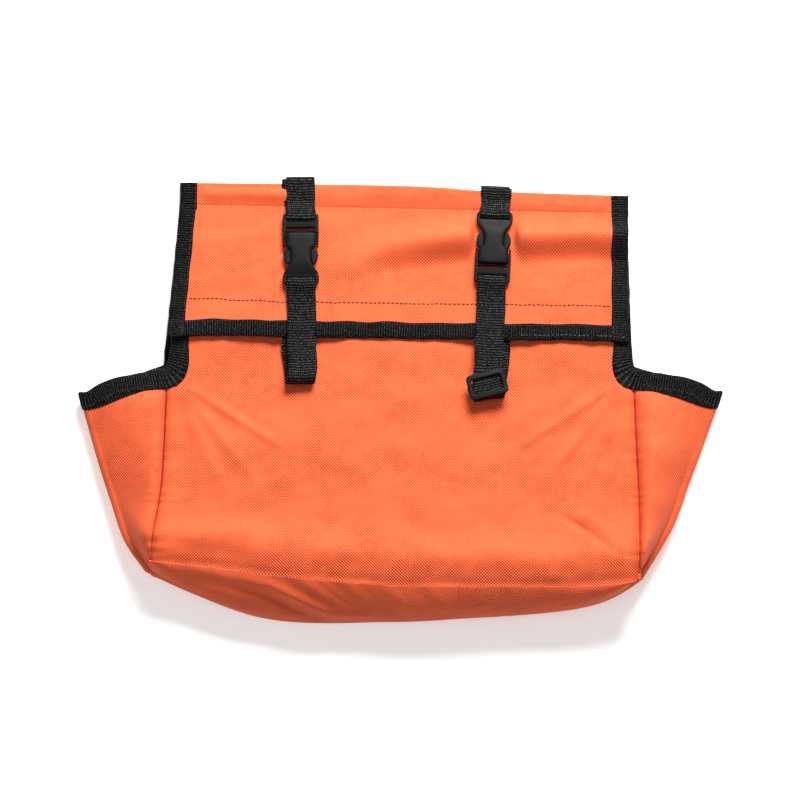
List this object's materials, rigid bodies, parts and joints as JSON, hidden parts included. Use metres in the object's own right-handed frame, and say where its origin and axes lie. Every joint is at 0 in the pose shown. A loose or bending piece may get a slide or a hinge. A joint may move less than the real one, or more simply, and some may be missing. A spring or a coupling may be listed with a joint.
{
  "type": "electrician tool pouch",
  "caption": "Flat fabric tool pouch with flared side gussets, a bound flap and buckled webbing straps over it.",
  "frame": {"origin": "centre of the pouch's bounding box on the floor, with the pouch lying on its back", "axes": "+X to the right of the front, +Y towards the flap's hinge and the top edge, +Z out of the front"},
  "size_m": [0.5578, 0.3854, 0.0561],
  "materials": {
    "orange_cloth": "matt coarse plain weave of polyester, coated on the inside",
    "binding_tape": "ribbed polyester tape, slight sheen",
    "webbing": "ribbed polypropylene webbing, slight sheen",
    "hook_and_loop": "matt brushed pile",
    "buckle_plastic": "fine grained acetal, satin"
  },
  "bodies": {
    "pouch": {"back_panel": "orange_cloth", "front_panel": "orange_cloth", "left_gusset": "orange_cloth", "right_gusset": "orange_cloth", "bottom_panel": "orange_cloth", "top_band": "orange_cloth", "band_binding_left": "binding_tape", "band_binding_right": "binding_tape", "mouth_binding_left": "binding_tape", "mouth_binding_right": "binding_tape", "back_binding_left": "binding_tape", "back_binding_right": "binding_tape", "bib_binding": "binding_tape", "loop_tape": "hook_and_loop", "left_strap_anchor": "webbing", "right_strap_anchor": "webbing"},
    "flap": {"flap_panel": "orange_cloth", "flap_binding_left": "binding_tape", "flap_binding_right": "binding_tape", "flap_binding_bottom": "binding_tape", "hook_tape": "hook_and_loop", "left_upper_strap": "webbing", "left_inner_strap": "webbing", "left_buckle_male": "buckle_plastic", "right_upper_strap": "webbing", "right_inner_strap": "webbing", "right_buckle_female": "buckle_plastic"},
    "left_loop": {"left_buckle_female": "buckle_plastic", "left_lower_strap": "webbing"},
    "right_loop": {"right_buckle_male": "buckle_plastic", "right_lower_strap": "webbing"},
    "left_buckle_prong_left": {"left_buckle_prong_left": "buckle_plastic"},
    "left_buckle_prong_right": {"left_buckle_prong_right": "buckle_plastic"},
    "right_buckle_prong_left": {"right_buckle_prong_left": "buckle_plastic"},
    "right_buckle_prong_right": {"right_buckle_prong_right": "buckle_plastic"},
    "tri_glide": {"tri_glide": "buckle_plastic"}
  },
  "joints": [
    {"name": "flap_hinge", "type": "hinge", "parent": "pouch", "child": "flap", "pos_m": [0, 0.1643, 0.01138], "axis": [-0.9998, 0.0187, 0], "range_deg": [0, 150]},
    {"name": "left_buckle_release", "type": "slide", "parent": "flap", "child": "left_loop", "axis": [0.0074, -0.9781, 0.2078], "range_m": [0, 0.028], "deforming": ["left_buckle_prong_left", "left_buckle_prong_right"]},
    {"name": "right_buckle_release", "type": "slide", "parent": "flap", "child": "right_loop", "axis": [-0.0467, -0.977, 0.2078], "range_m": [0, 0.028], "deforming": ["right_buckle_prong_left", "right_buckle_prong_right"]},
    {"name": "left_buckle_prong_left_squeeze", "type": "hinge", "parent": "flap", "child": "left_buckle_prong_left", "pos_m": [-0.096, 0.14366, 0.01625], "axis": [0.0039, 0.2079, 0.9781], "range_deg": [0, 7], "stiffness_Nm_per_rad": 0.15},
    {"name": "left_buckle_prong_right_squeeze", "type": "hinge", "parent": "flap", "child": "left_buckle_prong_right", "pos_m": [-0.076, 0.14379, 0.01615], "axis": [-0.0039, -0.2079, -0.9781], "range_deg": [0, 7], "stiffness_Nm_per_rad": 0.15},
    {"name": "right_buckle_prong_left_squeeze", "type": "hinge", "parent": "right_loop", "child": "right_buckle_prong_left", "pos_m": [0.06942, 0.11734, 0.02119], "axis": [-0.0039, -0.2079, -0.9781], "range_deg": [0, 7], "stiffness_Nm_per_rad": 0.15},
    {"name": "right_buckle_prong_right_squeeze", "type": "hinge", "parent": "right_loop", "child": "right_buckle_prong_right", "pos_m": [0.0894, 0.11641, 0.02131], "axis": [0.0039, 0.2079, 0.9781], "range_deg": [0, 7], "stiffness_Nm_per_rad": 0.15},
    {"name": "tri_glide_slide", "type": "slide", "parent": "right_loop", "child": "tri_glide", "axis": [0.0467, 0.977, -0.2078], "range_m": [0, 0.045]}
  ]
}
